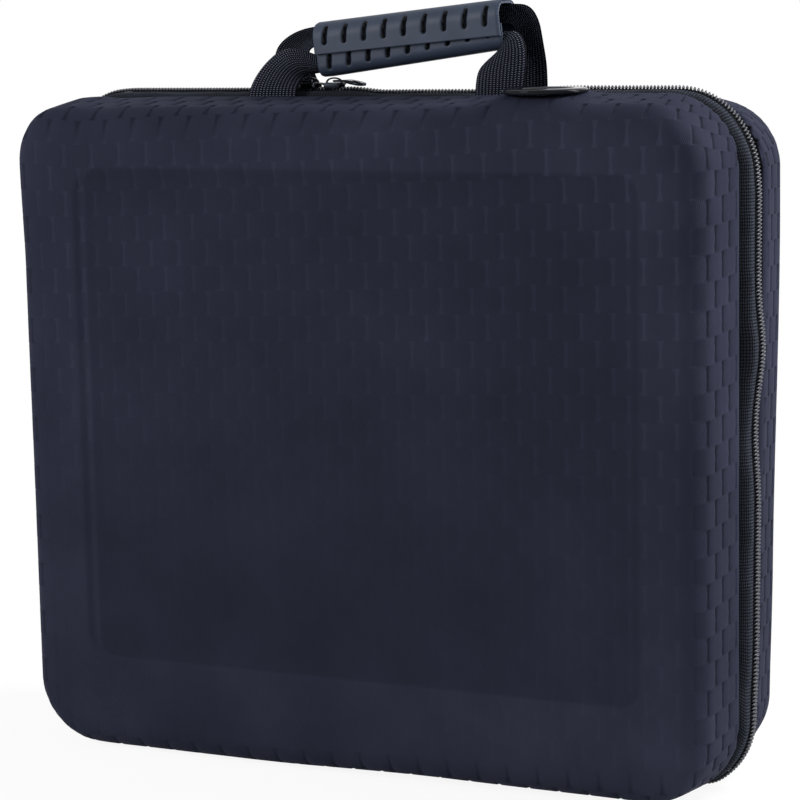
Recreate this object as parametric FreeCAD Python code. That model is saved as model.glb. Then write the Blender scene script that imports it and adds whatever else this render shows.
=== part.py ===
import FreeCAD, Part
import math
import os

os.makedirs("parts", exist_ok=True)

V = FreeCAD.Vector
UP = V(0, 0, 1)
BACK = V(0, 1, 0)

# Moulded halves: outside size at the lips, in millimetres
BAG_W = 400.0
BAG_H = 360.0
LIP_Y = 13.0
SHELL_DEPTH = 49.0
SKIRT = 6.0
DRAFT = math.radians(6.5)
CORNER_R = 38.0
FACE_FILLET = 14.0
WALL = 4.0
LIP_ROUND = 1.5

# Sunk panel in each large face
PANEL_SIDE = 40.0
PANEL_LOW = 54.0
PANEL_HIGH = 38.0
PANEL_SINK = 2.2
PANEL_SLOPE = 9.0
PANEL_R = 24.0

# Zip: two tapes with a nylon coil each, raised clear of the ground along the bottom
TAPE_T = 0.9
TAPE_N = 1.2
TAPE_SEWN = 5.5
TAPE_FOOT = 0.8
TAPE_RISE = 2.2
COIL_GAP = 1.2
COIL_W = 2.6
COIL_H = 2.0
COIL_CHAMFER = 0.5
BINDING_T = 1.0
ZIP_RAISE = 4.0
ZIP_TURN = 32.0

# Sliders and pulls
RUN_CLEAR = 0.35
SLIDER_X = (-45.5, -31.5)
SLIDER_L = 12.0
SLIDER_NOSE_W = 9.0
SLIDER_TAIL_W = 7.4
SLIDER_T = 1.2
SLIDER_WEB_L = 4.0
ARCH_L = 10.0
ARCH_W = 2.2
ARCH_R = 2.6
ARCH_HOLE_L = 7.6
ARCH_HOLE_H = 1.8
ARCH_HOLE_R = 1.5
ARCH_BAR = 1.0
PULL_BAR = 1.3
PULL_ARM_L = 9.0
PULL_TAB_L = 12.0
PULL_TAB_W = 8.0
PULL_TAB_T = 1.6

# Fabric strip that hinges the halves at the bottom
STRIP_T = 1.0
STRIP_GAP = 0.3

# Handle: a webbing loop on each half, folded narrower inside its own moulded grip
HANDLE_X = 5.0
WEB_W = 26.0
WEB_T = 1.6
WEB_LEG_PAST = 11.5
WEB_BASE_Y = 15.4
WEB_GRIP_Y = 6.2
WEB_LEAN_LOW = 1.0
WEB_LEAN_HIGH = 9.5
WEB_SLOT_CLEAR = 0.2
GRIP_SLUMP = 12.0
GRIP_LEFT_RISE = 22.3
GRIP_TILT = 5.8
GRIP_L = 107.0
GRIP_WALL = 2.2
GRIP_TOP = 14.6
GRIP_MEET = -2.2
GRIP_MEET_GAP = 1.0
UPPER_GRIP_Y = 13.6
UPPER_GRIP_R = 9.0
LOWER_GRIP_Y = 11.2
LOWER_GRIP_R = 6.0
GRIP_EDGE_R = 0.9
WEB_SEAT = 0.6
SLOT_COUNT = 9
SLOT_PITCH = 11.6
SLOT_W = 3.0
SLOT_SINK = 1.3
SLOT_SLANT = 7.0
UPPER_SLOT = (1.8, 12.6)
LOWER_SLOT = (-12.4, -4.4)

# Webbing edges beside the grip: (along, rise, radius) from its left end or past its right end
REAR_OUTER_LEFT = (-26.0, 13.5, 20.0)
REAR_OUTER_RIGHT = (15.0, 13.0, 14.0)
REAR_INNER_RIGHT = ((4.0, 0.5, 4.0), (3.0, -15.5, 3.0))
REAR_INNER_LEFT = (-6.0, 0.5, 6.0)
FRONT_OUTER_LEFT = (-29.0, 2.0, 15.0)
FRONT_OUTER_RIGHT = (11.0, -3.4, 8.0)
FRONT_INNER_RIGHT = ((2.5, -12.0, 1.0), (2.0, -17.0, 2.0), (-13.0, -22.0, 6.0))
FRONT_INNER_LEFT = (-8.0, -12.0, 4.0)

# Round cap on the top wall of the front half, level on a foot that is cut to the wall's draft
CAP_D = 44.0
CAP_T = 3.2
CAP_X = 104.5
CAP_BACK = 1.5
CAP_RAISE = 0.3
CAP_DISH_D = 31.0
CAP_DISH = 1.1
CAP_EDGE = 1.4
CAP_FOOT_D = 29.0

# Fittings inside
STRAP_W = 25.0
STRAP_T = 1.5
STRAP_SIDE = 35.0
POCKET_SIDE = 45.0
POCKET_LOW = 70.0
POCKET_HIGH = 120.0
POCKET_T = 1.2
POCKET_BOW = 8.0
POCKET_SEAM = 12.0
POCKET_HEM = 10.0

# Values that follow from the sizes above
HALF_W = BAG_W / 2
FACE_Y = LIP_Y + SHELL_DEPTH
INNER_Y = FACE_Y - WALL
COIL_Y0 = COIL_GAP / 2
COIL_Y1 = COIL_Y0 + COIL_W
COIL_TOP = TAPE_N + COIL_H
FLANGE_N = -WALL - TAPE_T
ZIP_END_X = HALF_W - CORNER_R - ZIP_TURN
GRIP_LEFT_X = HANDLE_X + GRIP_SLUMP - GRIP_L / 2
WEB_LEG_X = GRIP_L / 2 + WEB_LEG_PAST
WEB_LEAN_Z0 = BAG_H + WEB_LEAN_LOW
WEB_LEAN_Z1 = BAG_H + WEB_LEAN_HIGH
STRAP_HALF_L = HALF_W - STRAP_SIDE
POCKET_HALF_W = HALF_W - POCKET_SIDE
POCKET_Z0 = POCKET_LOW
POCKET_Z1 = BAG_H - POCKET_HIGH


def export(name, shape):
    shape.exportStep("parts/" + name + ".step")


def mirrored(shape):
    """The rear half's copy of a front piece."""
    return shape.mirror(V(0, 0, 0), BACK)


def outline(points, place):
    """Face of a polygon; each point is (a, b) or (a, b, radius), placed by place(a, b)."""
    legs = []
    count = len(points)
    for i in range(count):
        a, b = points[i][:2]
        r = points[i][2] if len(points[i]) > 2 else 0.0
        if r == 0.0:
            legs.append(((a, b), None, (a, b)))
            continue
        pa, pb = points[i - 1][:2]
        na, nb = points[(i + 1) % count][:2]
        to_prev = math.atan2(pb - b, pa - a)
        to_next = math.atan2(nb - b, na - a)
        half = abs((to_next - to_prev + math.pi) % (2 * math.pi) - math.pi) / 2
        cut = r / math.tan(half)
        mid = math.atan2(math.sin(to_prev) + math.sin(to_next), math.cos(to_prev) + math.cos(to_next))
        reach = r / math.sin(half) - r
        start = (a + cut * math.cos(to_prev), b + cut * math.sin(to_prev))
        middle = (a + reach * math.cos(mid), b + reach * math.sin(mid))
        end = (a + cut * math.cos(to_next), b + cut * math.sin(to_next))
        legs.append((start, middle, end))
    edges = []
    for i in range(count):
        start, middle, end = legs[i]
        if middle is not None:
            edges.append(Part.Arc(place(*start), place(*middle), place(*end)).toShape())
        after = place(*legs[(i + 1) % count][0])
        if place(*end).distanceToPoint(after) > 1e-6:
            edges.append(Part.makeLine(place(*end), after))
    return Part.Face(Part.Wire(edges))


def joined(solids):
    return solids[0].multiFuse(solids[1:]).removeSplitter().Solids[0]


def swept(section, bottom, end_x):
    """Section (outward, y) carried round the bag's outline, open between -end_x and end_x below."""
    inner_x = HALF_W - CORNER_R
    low = bottom + CORNER_R
    high = BAG_H - CORNER_R
    runs = [
        (V(-end_x, 0, bottom), V(0, 0, -1), V(end_x - inner_x, 0, 0)),
        (V(-HALF_W, 0, low), V(-1, 0, 0), V(0, 0, high - low)),
        (V(-inner_x, 0, BAG_H), V(0, 0, 1), V(2 * inner_x, 0, 0)),
        (V(HALF_W, 0, high), V(1, 0, 0), V(0, 0, low - high)),
        (V(inner_x, 0, bottom), V(0, 0, -1), V(end_x - inner_x, 0, 0)),
    ]
    centres = [V(-inner_x, 0, low), V(-inner_x, 0, high), V(inner_x, 0, high), V(inner_x, 0, low)]
    solids = []
    for i, (start, out, run) in enumerate(runs):
        def place(n, y, base=start, normal=out):
            return base + normal * n + BACK * y
        solids.append(outline(section, place).extrude(run))
        if i < len(centres):
            def turn(n, y, base=start + run, normal=out):
                return base + normal * n + BACK * y
            solids.append(outline(section, turn).revolve(centres[i], BACK, 90))
    return joined(solids)


def rounded_rect(inset, y, radius):
    """Wire of the sunk panel's edge, moved in by inset, at depth y."""
    x = HALF_W - PANEL_SIDE - inset
    z0 = PANEL_LOW + inset
    z1 = BAG_H - PANEL_HIGH - inset
    corners = [(-x, z0, radius), (x, z0, radius), (x, z1, radius), (-x, z1, radius)]
    return outline(corners, lambda a, b: V(a, y, b)).OuterWire


def shell():
    """Front half: swept wall section, face plate, sunk panel and the slots for the webbing."""
    drop = math.tan(DRAFT)
    inner_bend = -LIP_Y - SKIRT + WALL * math.tan(DRAFT / 2)
    inner_corner = -WALL - (inner_bend + INNER_Y) * drop
    section = [
        (0.0, -LIP_Y, LIP_ROUND),
        (0.0, -LIP_Y - SKIRT),
        (-(SHELL_DEPTH - SKIRT) * drop, -FACE_Y, FACE_FILLET),
        (-CORNER_R, -FACE_Y),
        (-CORNER_R, -INNER_Y),
        (inner_corner, -INNER_Y, FACE_FILLET - WALL),
        (-WALL, inner_bend),
        (-WALL, -LIP_Y, LIP_ROUND),
    ]
    ring = swept(section, 0.0, 0.0)
    inner_x = HALF_W - CORNER_R
    plate = Part.makeBox(2 * inner_x, WALL, BAG_H - 2 * CORNER_R, V(-inner_x, -FACE_Y, CORNER_R))
    body = joined([ring, plate])
    sunk = Part.makeLoft([
        rounded_rect(0.0, -FACE_Y, PANEL_R),
        rounded_rect(PANEL_SLOPE, -FACE_Y + PANEL_SINK, PANEL_R - PANEL_SLOPE),
    ], True, True)
    body = body.cut(sunk)
    slot_w = WEB_W + 2 * WEB_SLOT_CLEAR
    slot_t = WEB_T + 2 * WEB_SLOT_CLEAR
    for x in (HANDLE_X - WEB_LEG_X, HANDLE_X + WEB_LEG_X):
        corner = V(x - slot_w / 2, -WEB_BASE_Y - slot_t / 2, BAG_H - 2 * WALL)
        body = body.cut(Part.makeBox(slot_w, slot_t, 3 * WALL, corner))
    return body.Solids[0]


def zip_tape():
    """Front tape: sewn flange inside the wall, riser, and the flat edge that carries the coil."""
    foot = -LIP_Y + TAPE_FOOT
    top = foot + TAPE_RISE
    section = [
        (-WALL, -LIP_Y - TAPE_SEWN),
        (-WALL, foot),
        (TAPE_N, top),
        (TAPE_N, -COIL_Y0),
        (TAPE_N - TAPE_T, -COIL_Y0),
        (TAPE_N - TAPE_T, top + TAPE_T),
        (FLANGE_N, foot + TAPE_T),
        (FLANGE_N, -LIP_Y - TAPE_SEWN),
    ]
    return swept(section, ZIP_RAISE, ZIP_END_X)


def zip_coil():
    """Front half of the coil, as the plain bead that the teeth fill."""
    section = [
        (TAPE_N, -COIL_Y1),
        (TAPE_N, -COIL_Y0),
        (COIL_TOP, -COIL_Y0),
        (COIL_TOP, -COIL_Y1 + COIL_CHAMFER),
        (COIL_TOP - COIL_CHAMFER, -COIL_Y1),
    ]
    return swept(section, ZIP_RAISE, ZIP_END_X)


def seam_binding():
    """Front binding tape over the sewn flange, all the way round the inside."""
    foot = -LIP_Y + TAPE_FOOT
    section = [
        (FLANGE_N, -LIP_Y - TAPE_SEWN),
        (FLANGE_N, foot),
        (FLANGE_N - BINDING_T, foot),
        (FLANGE_N - BINDING_T, -LIP_Y - TAPE_SEWN),
    ]
    return swept(section, ZIP_RAISE, 0.0)


def hinge_strip():
    """Strip sewn to the rear lip; the front half folds along its front edge."""
    depth = 2 * LIP_Y - STRIP_GAP
    return Part.makeBox(2 * ZIP_END_X - 2, depth, STRIP_T, V(1 - ZIP_END_X, STRIP_GAP - LIP_Y, LIP_ROUND))


def grip_point(along, rise):
    """Point (x, z) of the handle, measured along the grip from its left end and up from its axis."""
    tilt = math.radians(GRIP_TILT)
    x = GRIP_LEFT_X + along * math.cos(tilt) - rise * math.sin(tilt)
    z = BAG_H + GRIP_LEFT_RISE + along * math.sin(tilt) + rise * math.cos(tilt)
    return x, z


def handle_webbing(outer_left, outer_right, inner_right, inner_left, span):
    """Front-side loop: its plan cut through a sheet that leans in from the slots to the grip."""
    low = BAG_H - WALL
    left_out, left_in = (HANDLE_X - WEB_LEG_X - side * WEB_W / 2 for side in (1, -1))
    right_out, right_in = (HANDLE_X + WEB_LEG_X + side * WEB_W / 2 for side in (1, -1))
    bottom, top = span
    plan = [
        (left_out, low),
        (left_out, WEB_LEAN_Z0),
        grip_point(*outer_left[:2]) + outer_left[2:],
        grip_point(-1.0, top),
        grip_point(GRIP_L + 1.0, top),
        grip_point(GRIP_L + outer_right[0], outer_right[1]) + outer_right[2:],
        (right_out, WEB_LEAN_Z0),
        (right_out, low),
        (right_in, low),
        (right_in, WEB_LEAN_Z0),
        *[grip_point(GRIP_L + along, rise) + (r,) for along, rise, r in reversed(inner_right)],
        grip_point(GRIP_L, bottom),
        grip_point(0.0, bottom),
        grip_point(*inner_left[:2]) + inner_left[2:],
        (left_in, WEB_LEAN_Z0),
        (left_in, low),
    ]
    loop = outline(plan, lambda x, z: V(x, -FACE_Y, z)).extrude(BACK * FACE_Y)
    sheet = [
        (-WEB_BASE_Y, low),
        (-WEB_BASE_Y, WEB_LEAN_Z0),
        (-WEB_GRIP_Y, WEB_LEAN_Z1),
        (-WEB_GRIP_Y, 2 * BAG_H),
    ]
    front = [(y - WEB_T / 2, z) for y, z in sheet]
    back = [(y + WEB_T / 2, z) for y, z in reversed(sheet)]
    slab = outline(front + back, lambda y, z: V(-HALF_W, y, z)).extrude(V(BAG_W, 0, 0))
    return loop.common(slab).removeSplitter().Solids[0]


def grip(half_y, end, meet, radius, slot):
    """Channel-shaped grip from its closed end to the line where the two grips meet, slotted both sides."""
    tilt = math.radians(GRIP_TILT)
    along = V(math.cos(tilt), 0, math.sin(tilt))
    up = 1 if end > meet else -1

    def place(y, h, at=0.0):
        x, z = grip_point(at, h)
        return V(x, y, z)

    def channel(inset):
        """Outside of the grip moved in by inset, closed across its open side."""
        y = half_y - inset
        r = radius - inset
        return [(-y, meet), (-y, end - up * inset, r), (y, end - up * inset, r), (y, meet)]

    y = half_y - GRIP_WALL
    inner_end = end - up * GRIP_WALL
    inner_r = radius - GRIP_WALL
    section = [
        (-half_y, meet, GRIP_EDGE_R),
        (-half_y, end, radius),
        (half_y, end, radius),
        (half_y, meet, GRIP_EDGE_R),
        (y, meet, GRIP_EDGE_R),
        (y, inner_end, inner_r),
        (-y, inner_end, inner_r),
        (-y, meet, GRIP_EDGE_R),
    ]
    run = along * GRIP_L
    body = outline(section, place).extrude(run)
    skin = outline(channel(0.0), place).extrude(run).cut(outline(channel(SLOT_SINK), place).extrude(run))
    first = (GRIP_L - (SLOT_COUNT - 1) * SLOT_PITCH) / 2
    slant = math.tan(math.radians(SLOT_SLANT))
    low, high = slot
    half_w = SLOT_W / 2
    r = half_w - 0.05
    cutters = []
    for i in range(SLOT_COUNT):
        at = first + i * SLOT_PITCH
        lean = slant * (high - low) / 2
        corners = [(at - lean - half_w, low, r), (at - lean + half_w, low, r),
                   (at + lean + half_w, high, r), (at + lean - half_w, high, r)]
        face = outline(corners, lambda s, h: place(-half_y, h, s))
        cutters.append(skin.common(face.extrude(BACK * 2 * half_y)))
    return body.cut(cutters).Solids[0]


def top_cap():
    """Round cap with a dished top, level with the lip, on a foot trimmed to the drafted top wall."""
    radius = CAP_D / 2
    dish = CAP_DISH_D / 2
    section = [
        (0.0, 0.0),
        (radius, 0.0, CAP_EDGE),
        (radius, CAP_T, CAP_EDGE),
        (dish, CAP_T),
        (dish - 2 * CAP_DISH, CAP_T - CAP_DISH),
        (0.0, CAP_T - CAP_DISH),
    ]
    centre = V(CAP_X, -LIP_Y - CAP_BACK - radius, BAG_H + CAP_RAISE)
    disc = outline(section, lambda r, h: centre + V(r, 0, h)).revolve(centre, UP, 360)
    fall = (SHELL_DEPTH - SKIRT) * math.tan(DRAFT)
    wall = [(0.0, BAG_H), (-LIP_Y - SKIRT, BAG_H), (-FACE_Y, BAG_H - fall), (-FACE_Y, 0.0), (0.0, 0.0)]
    below = outline(wall, lambda y, z: V(-HALF_W, y, z)).extrude(V(BAG_W, 0, 0))
    depth = CAP_RAISE + fall
    foot = Part.makeCylinder(CAP_FOOT_D / 2, depth, centre - UP * depth, UP).cut(below)
    return joined([disc, foot])


def slider(centre_x, facing):
    """Slider body; facing is +1 when its nose points to +X. Open on both sides for the coils."""
    top_z = BAG_H + COIL_TOP + RUN_CLEAR
    low_z = BAG_H + TAPE_N - TAPE_T - RUN_CLEAR
    half_l = SLIDER_L / 2
    nose = SLIDER_NOSE_W / 2
    tail = SLIDER_TAIL_W / 2
    plan = [(-half_l, -tail, 1.0), (half_l, -nose, 1.6), (half_l, nose, 1.6), (-half_l, tail, 1.0)]
    solids = []
    for z in (top_z, low_z - SLIDER_T):
        face = outline(plan, lambda u, y, level=z: V(centre_x + facing * u, y, level))
        solids.append(face.extrude(UP * SLIDER_T))
    web_t = COIL_GAP - 2 * RUN_CLEAR + 0.1
    web_x = centre_x + facing * (half_l - 1.0) - (SLIDER_WEB_L if facing > 0 else 0.0)
    solids.append(Part.makeBox(SLIDER_WEB_L, web_t, top_z - low_z, V(web_x, -web_t / 2, low_z)))
    deck = top_z + SLIDER_T
    high = deck + ARCH_HOLE_H + ARCH_BAR
    arch = [(-ARCH_L / 2, deck), (-ARCH_L / 2, high, ARCH_R), (ARCH_L / 2, high, ARCH_R), (ARCH_L / 2, deck)]
    face = outline(arch, lambda u, z: V(centre_x + u, -ARCH_W / 2, z))
    hole = [
        (-ARCH_HOLE_L / 2, deck),
        (-ARCH_HOLE_L / 2, deck + ARCH_HOLE_H, ARCH_HOLE_R),
        (ARCH_HOLE_L / 2, deck + ARCH_HOLE_H, ARCH_HOLE_R),
        (ARCH_HOLE_L / 2, deck),
    ]
    opening = outline(hole, lambda u, z: V(centre_x + u, -ARCH_W / 2, z))
    solids.append(face.extrude(BACK * ARCH_W).cut(opening.extrude(BACK * ARCH_W)))
    return joined(solids)


def pull(centre_x, side):
    """Pull with a bar through the slider's arch; side is +1 when it lies towards +X."""
    deck = BAG_H + COIL_TOP + RUN_CLEAR + SLIDER_T
    pivot_z = deck + ARCH_HOLE_H / 2
    arm_in = ARCH_W / 2 + RUN_CLEAR
    arm_out = arm_in + PULL_BAR
    arm_mid = arm_in + PULL_BAR / 2
    bar = Part.makeCylinder(PULL_BAR / 2, 2 * arm_mid, V(centre_x, -arm_mid, pivot_z), BACK)
    solids = [bar]
    for y in (-arm_mid, arm_mid):
        elbow = V(centre_x, y, pivot_z)
        solids.append(Part.makeSphere(PULL_BAR / 2, elbow))
        solids.append(Part.makeCylinder(PULL_BAR / 2, PULL_ARM_L, elbow, V(side, 0, 0)))
    half = PULL_TAB_W / 2
    near = PULL_ARM_L - PULL_BAR
    far = near + PULL_TAB_L
    plan = [(near, -arm_out, 1.0), (near + 4, -half, 1.5), (far, -half, 2.0),
            (far, half, 2.0), (near + 4, half, 1.5), (near, arm_out, 1.0)]
    face = outline(plan, lambda u, y: V(centre_x + side * u, y, pivot_z - PULL_TAB_T / 2))
    solids.append(face.extrude(UP * PULL_TAB_T))
    return joined(solids)


def strap(centre_z):
    """Elastic retaining strap, lying slack against the inside of the rear half."""
    corner = V(-STRAP_HALF_L, INNER_Y - STRAP_T, centre_z - STRAP_W / 2)
    return Part.makeBox(2 * STRAP_HALF_L, STRAP_T, STRAP_W, corner)


def lid_pocket():
    """Slip pocket on the inside of the front half, sewn on three sides and open at the top."""
    sewn = POCKET_HALF_W - POCKET_SEAM
    full = sewn - POCKET_SEAM
    near = INNER_Y - POCKET_BOW
    plan = [
        (-POCKET_HALF_W, INNER_Y),
        (-sewn, INNER_Y),
        (-full, near),
        (full, near),
        (sewn, INNER_Y),
        (POCKET_HALF_W, INNER_Y),
        (POCKET_HALF_W, INNER_Y - POCKET_T),
        (sewn, INNER_Y - POCKET_T),
        (full, near - POCKET_T),
        (-full, near - POCKET_T),
        (-sewn, INNER_Y - POCKET_T),
        (-POCKET_HALF_W, INNER_Y - POCKET_T),
    ]
    floor_plan = [(-sewn, INNER_Y), (-full, near), (full, near), (sewn, INNER_Y)]
    panel = outline(plan, lambda x, y: V(x, -y, POCKET_Z0)).extrude(UP * (POCKET_Z1 - POCKET_Z0))
    floor = outline(floor_plan, lambda x, y: V(x, -y, POCKET_Z0)).extrude(UP * POCKET_T)
    return joined([panel, floor])


def pocket_hem():
    """Elastic hem along the mouth of the slip pocket."""
    half = POCKET_HALF_W - 2 * POCKET_SEAM
    inner = INNER_Y - POCKET_BOW - POCKET_T
    return Part.makeBox(2 * half, POCKET_T, POCKET_HEM, V(-half, -inner, POCKET_Z1 - POCKET_HEM))


upper_seat = GRIP_TOP - GRIP_WALL - WEB_SEAT
lower_meet = GRIP_MEET - GRIP_MEET_GAP
for name, shape in [
    ("shell", shell()),
    ("zip_tape", zip_tape()),
    ("zip_coil", zip_coil()),
    ("seam_binding", seam_binding()),
]:
    export("front_" + name, shape)
    export("rear_" + name, mirrored(shape))

export("front_handle_webbing", handle_webbing(
    FRONT_OUTER_LEFT, FRONT_OUTER_RIGHT, FRONT_INNER_RIGHT, FRONT_INNER_LEFT, (-upper_seat, lower_meet)))
export("rear_handle_webbing", mirrored(handle_webbing(
    REAR_OUTER_LEFT, REAR_OUTER_RIGHT, REAR_INNER_RIGHT, REAR_INNER_LEFT, (REAR_INNER_LEFT[1], upper_seat))))
export("upper_grip", grip(UPPER_GRIP_Y, GRIP_TOP, GRIP_MEET, UPPER_GRIP_R, UPPER_SLOT))
export("lower_grip", grip(LOWER_GRIP_Y, -GRIP_TOP, lower_meet, LOWER_GRIP_R, LOWER_SLOT))
export("hinge_strip", hinge_strip())
export("top_cap", top_cap())
export("left_slider", slider(SLIDER_X[0], 1))
export("right_slider", slider(SLIDER_X[1], -1))
export("left_pull", pull(SLIDER_X[0], -1))
export("right_pull", pull(SLIDER_X[1], 1))
export("lower_strap", strap(BAG_H / 3))
export("upper_strap", strap(BAG_H * 2 / 3))
export("lid_pocket", lid_pocket())
export("pocket_hem", pocket_hem())
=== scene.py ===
import math
import bpy
import numpy as np
from mathutils import Matrix, Vector


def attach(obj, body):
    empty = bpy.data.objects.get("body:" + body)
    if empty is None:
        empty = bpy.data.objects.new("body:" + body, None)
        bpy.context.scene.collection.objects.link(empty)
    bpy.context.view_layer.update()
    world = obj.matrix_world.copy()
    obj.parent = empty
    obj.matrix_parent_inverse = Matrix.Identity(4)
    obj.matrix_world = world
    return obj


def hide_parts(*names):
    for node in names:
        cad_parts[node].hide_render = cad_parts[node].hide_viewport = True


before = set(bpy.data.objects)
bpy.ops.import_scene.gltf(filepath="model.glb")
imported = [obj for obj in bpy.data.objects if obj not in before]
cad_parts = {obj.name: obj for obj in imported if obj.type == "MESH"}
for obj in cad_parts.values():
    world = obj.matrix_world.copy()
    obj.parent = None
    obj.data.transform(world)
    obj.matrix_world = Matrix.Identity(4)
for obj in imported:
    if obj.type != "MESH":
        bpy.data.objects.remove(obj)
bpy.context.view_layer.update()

# Camera: angles in degrees, distance and target in millimetres, focal length and centre in the photo's pixels
YAW, PITCH, ROLL = 25.307, 8.891, 1.090
DIST, FOCAL = 1455.8, 2705.8
CENTRE = (401.9, 407.2)
TARGET = (4.73, 0.0, 191.17)
PHOTO_SIDE, SENSOR = 800, 36.0
MM = 0.001

# Moulded halves, in millimetres as in the part's source
HALF_W, BAG_H = 200.0, 360.0
LIP, SHELL_DEPTH = 13.0, 49.0
SKIRT, WALL, LIP_ROUND = 6.0, 4.0, 1.5
CORNER_R, FILLET = 38.0, 14.0
DRAFT = math.radians(6.5)
FILLET_TURN = math.pi / 2 - DRAFT
FACE = LIP + SHELL_DEPTH
INNER = FACE - WALL
CORE_X = HALF_W - CORNER_R
CORE_Z = (CORNER_R, BAG_H - CORNER_R)
# Sunk panel: half width, low, high and a corner radius tighter than the part's; its depth and its side's run
PANEL = (160.0, 54.0, 322.0, 14.0)
PANEL_SINK, PANEL_SLOPE = 2.2, 9.0
# Spacing of the lining's grid lines
LINING_GRID = 5.0

# Embossed cloth: pitch along a row, row height, a slit's place and the rows' slope
PITCH_X, PITCH_Z = 16.87, 13.61
SLIT_P, ROW_Q = 5.3, 2.8
ROW_SLOPE = 0.042
# Half length of a slit, how late it widens, and its depth on the face and on the walls
SLIT_LONG, FLARE_POWER = 6.6, 2.5
FACE_EMBOSS, WALL_EMBOSS = 0.34, 1.1
# Where a slit fades at its ends, where the face turns into the walls, and where the face's slits grow clear
SLIT_TIP = (5.9, 6.75)
SIDE_WALL, TOP_WALL, LOW_WALL = (182, 198), (338, 354), (18, 2)
CLEAR_UP = (60, 300)
# Distances past the core rectangle: where the walls' deeper slits take over, where slits end, where waves end
WALL_SLITS, SLITS_END, WAVES_END = (16, 44), (66, 74), (20, 60)

# Where the darker colour of the sunk panel ends: left, right, low, high and corner radius, and how softly
RIM_TONE = (-152.5, 162.5, 55.0, 322.5, 11.0)
RIM_SOFT = 1.2

# How the soft front half stands off the moulding: full upper left corner, slack top, sagging face, drawn lip
CORNER_OUT, CORNER_UP = 1.7, 2.6
TOP_SLACK, FACE_SAG, LIP_DRAWN = 1.9, 1.9, 0.8
# The rear half: lean to the right at the top, tuck below, slump
REAR_LEAN, REAR_TUCK, REAR_SLUMP = 3.4, 1.8, 2.5
# Low waves over both faces, and the raised seat under the cap with its inner and outer radius
FACE_WAVE = 0.09
SEAT_RISE, SEAT_IN, SEAT_OUT = 3.4, 17, 31

# Zip
ZIP_RAISE, ZIP_END = 4.0, 130.0
TAPE_N, TAPE_T = 1.2, 0.9
TAPE_FOOT = LIP - 0.8
TOOTH_PITCH = 1.9
TOOTH_LEAN, LEAN_FROM = 0.12, 1.5
# Depths between which a tape passes from the chain to the lip
TAPE_FREE = (7.0, LIP - 1)
# Small ripples of the slack tapes: height, length of a radian, share of the phase
RIPPLES = ((0.28, 5.1, 1), (0.22, 9.7, 2), (0.12, 2.3, 0))
# Slack of the closed chain on the right side, above and below; a bulge and a dip: amount, height, spread
SLACK_HIGH, SLACK_LOW = 2.6, 1.6
BULGE = (2.8, 231, 20)
DIP = (0.5, 192, 14)
# Height the chain loses: towards the left, at the left corner, right of the right pull, and at its feet
LEFT_LOW, CORNER_LOW, PULL_LOW = 1.0, 2.4, 1.8
FOOT_DROP = 4.0

# Handle
GRIP_LEFT = (-36.5, 382.3)
GRIP_TILT = math.radians(5.8)
GRIP_L, GRIP_WALL = 107.0, 2.2
LOWER_TILT = math.radians(1.9)
WEB_HALF_W, WEB_HALF_T = 13, 0.95
# Rounding of the grips' ends: length and depth
END_ROUND, END_SINK = 1.2, 0.5
# Slots: pitch, count of pitches, half width, straight length lost at each end, depth, lean and soft edge
SLOT_PITCH, SLOT_STEPS = 11.6, 8
SLOT_R, SLOT_END, SLOT_SINK = 1.3, 1.5, 1.7
SLOT_LEAN = math.tan(math.radians(7))
SLOT_EDGE = (-0.55, 0.3)
# Reach of the outermost slots past their middles, and the distance given where no slot is near
SLOT_PAST, NO_SLOT = 5.0, 9.0

# Cap, with its underside's centre, and sliders with the heights of their plates, rails, post and pull
CAP = (104.5, -36.5, 360.3)
SLIDER_X = (-45.5, -31.5)
TOP_PLATE, LOW_PLATE = (363.5, 364.85), (358.75, 359.95)
RAIL_Z, POST_Z = (361.7, 364.0), (359.8, 363.6)
BRIDGE_Z, BRIDGE_RISE = 364.45, 2.75
PULL_Z, TAB_HINGE = 365.65, 8.0

# Fittings inside: half length, width and depth of the straps; foot, height and sewn depth of the pocket
STRAP_HALF, STRAP_W, STRAP_Y = 165, 25, 57.1
POCKET_Z, POCKET_H, POCKET_Y = 70.5, 168.0, 57.4
# Net: cells along and up, and half a thread's share of a cell; hem: half length, width, depth and foot
NET_CELLS, NET_THREAD = (98, 52), 0.17
HEM_HALF, HEM_W, HEM_Y, HEM_Z = 136, 10, -48.3, 230
# Hinge strip: front edge, height at its edges, crown and thickness
STRIP_FRONT, STRIP_Z, STRIP_CROWN, STRIP_T = -12.6, 1.9, 0.8, 0.9

# Lamps: place and aim in metres, size in metres, watts
LAMPS = {
    "key": ((-0.95, -1.4, 0.95), (0, 0, 0.2), (0.75, 0.75), 27.5),
    "side": ((1.6, 0.6, 0.7), (0.1, 0, 0.2), (0.6, 1.1), 23),
    "top": ((0.65, 0.25, 0.85), (0.1, 0, 0.35), (0.35, 0.35), 9),
}
# Surroundings: strength as light, the floor's half side in metres, where it fades and how white it starts
FILL = 0.35
FLOOR_HALF, FLOOR_FADE, FLOOR_WHITE = 6, (0.2, 0.75), 0.9


def ramp(a, b, x):
    """Smooth step from 0 at a to 1 at b."""
    t = np.clip((x - a) / (b - a), 0, 1)
    return t * t * (3 - 2 * t)


def grid_faces(rows, cols, close_rows=False, close_cols=False):
    """Quads of a rows by cols grid of vertices."""
    i = np.arange(rows if close_rows else rows - 1)
    j = np.arange(cols if close_cols else cols - 1)
    i, j = (a.ravel() for a in np.meshgrid(i, j, indexing="ij"))
    i1, j1 = (i + 1) % rows, (j + 1) % cols
    return np.stack([i * cols + j, i * cols + j1, i1 * cols + j1, i1 * cols + j], 1)


def turned(faces, flip):
    """The faces, with their normals the other way where flip is true."""
    return faces[:, ::-1] if flip else faces


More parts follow.
